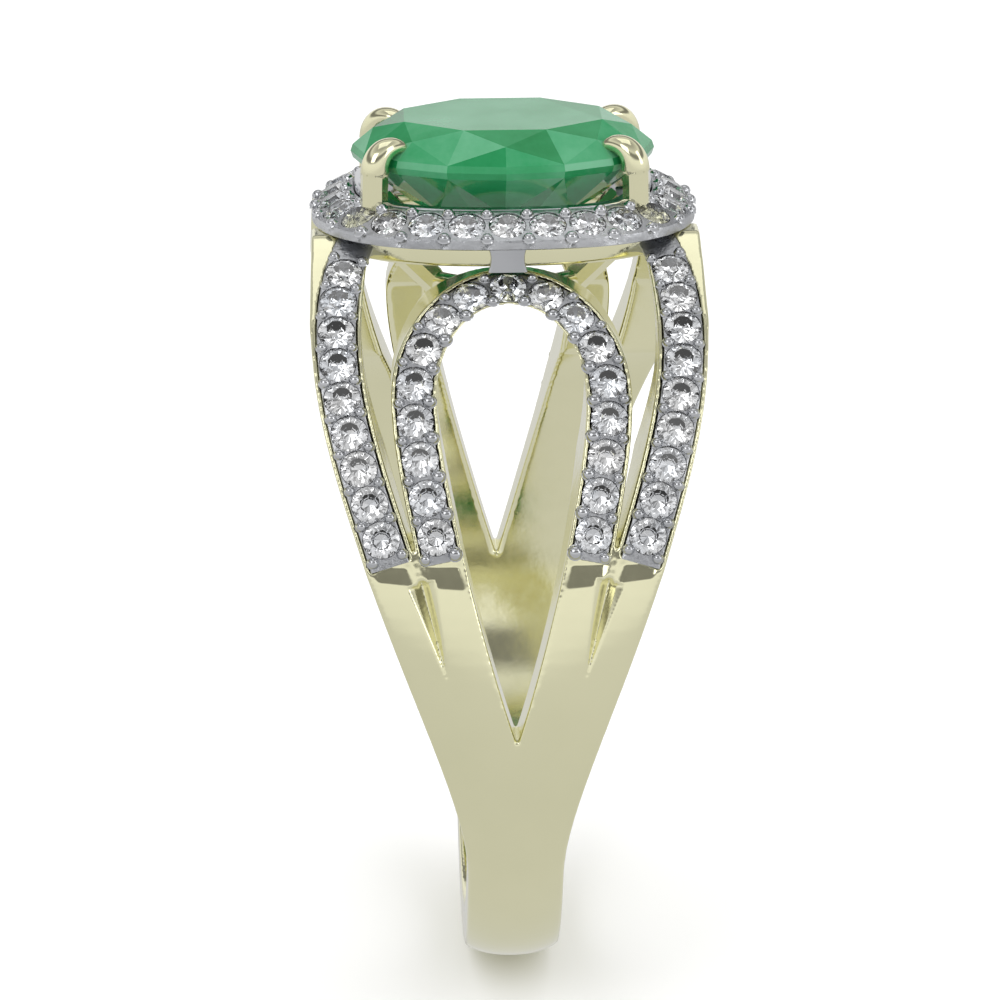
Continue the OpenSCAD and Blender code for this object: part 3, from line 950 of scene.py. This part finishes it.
def make_claw(node, flips):
    """An eight-sided shaft up to the girdle, and a smooth cap that bends in over the crown."""
    line = catmull([(2.12, 1.50, BASE_HIGH[2] - 0.3), (3.15, 2.10, HALO_LOW[2] - 0.5),
                    (3.80, 2.44, HALO_LOW[2] + 0.2), (3.83, 2.46, GIRDLE_Z - 1.1),
                    (3.81, 2.45, GIRDLE_Z - 0.2), (3.74, 2.40, GIRDLE_Z + 0.20),
                    (3.54, 2.26, GIRDLE_Z + 0.47), (3.24, 2.06, GIRDLE_Z + 0.56),
                    (2.93, 1.86, GIRDLE_Z + 0.47)], 12)
    count = len(line)
    side_way = np.array([*CLAW_ACROSS, 0.0]) / math.hypot(*CLAW_ACROSS)
    bend = next(i for i, point in enumerate(line) if point[2] > GIRDLE_Z - 0.15)
    vertices = []
    for i, point in enumerate(line):
        ahead, behind = line[min(i + 1, count - 1)], line[max(i - 1, 0)]
        tangent = (ahead - behind) / np.linalg.norm(ahead - behind)
        across = side_way - tangent * side_way.dot(tangent)
        across /= np.linalg.norm(across)
        out = np.cross(across, tangent)
        t = max(i - bend, 0) / (count - 1 - bend)
        radius = CLAW_R * (CAP_SWELL if i >= bend else 1.0)
        wide = radius * (1 - 0.30 * t ** 2)
        deep = radius * (1 - 0.62 * t ** 1.5)
        if t > CAP_CLOSING:
            closing = math.sqrt(max(1 - ((t - CAP_CLOSING) / (1 - CAP_CLOSING)) ** 2, 0.002))
            wide, deep = wide * closing, deep * closing
        for k in range(CLAW_SIDES):
            a = 2 * math.pi * k / CLAW_SIDES
            flat = 1.0
            if i < bend:
                flat = math.cos(math.pi / 8) / math.cos(a % (math.pi / 4) - math.pi / 8)
            vertices.append((point + across * wide * flat * math.cos(a)
                             + out * deep * flat * math.sin(a)) * flips)
    new_piece(node + "_sculpted", vertices, tube_faces(count, CLAW_SIDES),
              GOLD, "yellow_gold", [node], 28)


# ---------------------------------------------------------------- centre stone


def make_centre_stone():
    """An oval mixed cut: table, star, kite and girdle facets, and a deep pavilion."""
    rx, ry = STONE_HIGH[:2]
    girdle, culet = GIRDLE_Z, STONE_LOW[2]
    table = STONE_HIGH[2] - 0.05
    points = []

    def ring(count, share, z, offset):
        start = len(points)
        for k in range(count):
            a = 2 * math.pi * (k + offset) / count
            points.append((rx * share * math.cos(a), ry * share * math.sin(a), z))
        return start

    t = ring(8, 0.70, table, 0.5)
    s = ring(8, 0.85, girdle + GIRDLE_HALF + (table - girdle - GIRDLE_HALF) * 0.58, 0.0)
    upper = ring(16, 0.985, girdle + GIRDLE_HALF, 1.0)
    belt = ring(16, 1.0, girdle, 1.0)
    lower = ring(16, 0.985, girdle - GIRDLE_HALF, 1.0)
    mid = ring(8, 0.60, girdle - (girdle - culet) * 0.50, 0.0)
    tip = len(points)
    points.append((0, 0, culet))
    faces = [tuple(t + k for k in range(8))]
    for k in range(8):
        n = (k + 1) % 8
        faces.append((t + k, s + n, t + n))
        faces.append((s + n, upper + 2 * k, upper + (2 * k + 1) % 16))
        faces.append((s + n, upper + (2 * k + 1) % 16, upper + (2 * k + 2) % 16))
        faces.append((t + k, s + k, upper + 2 * k, s + n))
        faces.append((lower + 2 * k, mid + n, lower + (2 * k + 1) % 16))
        faces.append((lower + (2 * k + 1) % 16, mid + n, lower + (2 * k + 2) % 16))
        faces.append((lower + 2 * k, tip, mid + n))
        faces.append((lower + 2 * k, mid + k, tip))
    for k in range(16):
        n = (k + 1) % 16
        faces.append((upper + k, belt + k, belt + n, upper + n))
        faces.append((belt + k, lower + k, lower + n, belt + n))
    new_piece("green_oval", points, faces, GREEN, "green_stone", ["centre_stone"])


# ---------------------------------------------------------------- floor, light and surroundings


def make_floor():
    """A plain pale floor that the metal and the stones don't mirror."""
    size, z = 0.6, SHANK_LOW[2] * MM
    corners = [(-size, -size, z), (size, -size, z), (size, size * 3, z), (-size, size * 3, z)]
    mesh = bpy.data.meshes.new("floor")
    mesh.from_pydata(corners, [], [(0, 1, 2, 3)])
    floor = bpy.data.objects.new("floor", mesh)
    bpy.context.scene.collection.objects.link(floor)
    material, *_ = new_material("floor", Base_Color=(*grey(0.93), 1), Roughness=0.8,
                                Specular_IOR_Level=0.0)
    mesh.materials.append(material)
    floor.visible_glossy = False
    floor.visible_transmission = False


# the point that the lights face, in metres
LIGHT_AIM = Vector((0, 0, 0.004))


def area_light(name, place, size, power_w):
    data = bpy.data.lights.new(name, "AREA")
    data.shape = "RECTANGLE"
    data.size, data.size_y = size
    data.energy = power_w
    light = bpy.data.objects.new(name, data)
    place = Vector(place)
    light.location = place
    light.rotation_euler = (place - LIGHT_AIM).to_track_quat("Z", "Y").to_euler()
    bpy.context.scene.collection.objects.link(light)


# brightness of the studio's walls by height, from the floor (0) to overhead (1)
STUDIO_BANDS = [(0.0, 0.66), (0.46, 0.70), (0.52, 0.85), (0.66, 0.95),
                (0.71, 0.22), (0.79, 0.22), (0.84, 0.80), (1.0, 0.28)]
BACKDROP = 1.15


def make_surroundings():
    """Banded walls for polished metal and stones to mirror, in front of a plain white backdrop."""
    world = bpy.data.worlds.new("studio")
    bpy.context.scene.world = world
    world.use_nodes = True
    nodes, links = world.node_tree.nodes, world.node_tree.links
    place = nodes.new("ShaderNodeTexCoord")
    split = nodes.new("ShaderNodeSeparateXYZ")
    links.new(place.outputs["Generated"], split.inputs[0])
    height = nodes.new("ShaderNodeMapRange")
    height.inputs["From Min"].default_value = -1
    height.inputs["From Max"].default_value = 1
    links.new(split.outputs["Z"], height.inputs["Value"])
    bands = ramp(nodes, links, height.outputs["Result"],
                 [(place_up, grey(level)) for place_up, level in STUDIO_BANDS])
    background = nodes["Background"]
    links.new(bands.outputs["Color"], background.inputs["Color"])
    background.inputs["Strength"].default_value = 1.0
    plain = nodes.new("ShaderNodeBackground")
    plain.inputs["Color"].default_value = (1, 1, 1, 1)
    plain.inputs["Strength"].default_value = BACKDROP
    rays = nodes.new("ShaderNodeLightPath")
    either = nodes.new("ShaderNodeMath")
    either.operation = "MAXIMUM"
    links.new(rays.outputs["Is Camera Ray"], either.inputs[0])
    links.new(rays.outputs["Is Diffuse Ray"], either.inputs[1])
    mix = nodes.new("ShaderNodeMixShader")
    links.new(either.outputs[0], mix.inputs["Fac"])
    links.new(background.outputs[0], mix.inputs[1])
    links.new(plain.outputs[0], mix.inputs[2])
    links.new(mix.outputs[0], nodes["World Output"].inputs["Surface"])
    area_light("key", (-0.14, -0.20, 0.22), (0.16, 0.16), 0.14)
    area_light("fill", (0.20, -0.12, 0.14), (0.10, 0.18), 0.08)
    area_light("top", (0.0, 0.04, 0.30), (0.20, 0.20), 0.10)
    view = bpy.context.scene.view_settings
    view.view_transform = "Standard"
    view.look = "None"


# ---------------------------------------------------------------- build

make_shank()
make_rails()
make_halo()
make_gallery()
make_collar()
make_base_rail()
make_connectors()
for end, to_front in (("front", True), ("back", False)):
    for side, to_left in (("left", True), ("right", False)):
        make_claw(f"claw_{end}_{side}", mirror_map(to_left, to_front))
make_centre_stone()
make_floor()
make_surroundings()
